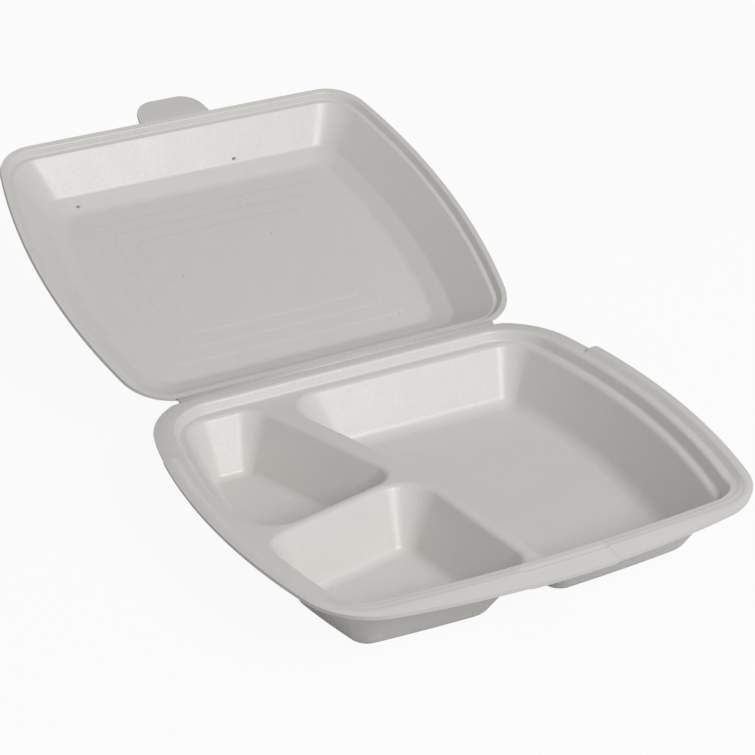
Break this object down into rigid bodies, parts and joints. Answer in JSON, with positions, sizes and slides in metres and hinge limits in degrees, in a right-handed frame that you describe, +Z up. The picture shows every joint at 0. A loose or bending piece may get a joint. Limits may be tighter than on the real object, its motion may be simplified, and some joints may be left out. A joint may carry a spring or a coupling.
{
  "type": "foam clamshell container",
  "caption": "Shallow hinged foam meal container with divided compartments and a tabbed lid, standing open.",
  "frame": {"origin": "on the table, under the middle of the opened container's bounding box", "axes": "+X along the hinge, +Y from the tray's front to the lid, +Z up"},
  "size_m": [0.241, 0.4094, 0.0941],
  "materials": {
    "foam": "satin expanded foam, warm off-white"
  },
  "bodies": {
    "tray": {"tray": "foam"},
    "hinge_strip": {"hinge_strip": "foam"},
    "lid": {"lid": "foam"}
  },
  "joints": [
    {"name": "tray_crease", "type": "hinge", "parent": "tray", "child": "hinge_strip", "pos_m": [0, 0.00227, 0.03327], "axis": [1, 0, 0], "range_deg": [-8, 81.5]},
    {"name": "lid_crease", "type": "hinge", "parent": "hinge_strip", "child": "lid", "pos_m": [0, 0.00622, 0.03386], "axis": [1, 0, 0], "range_deg": [-8, 81.5]}
  ]
}
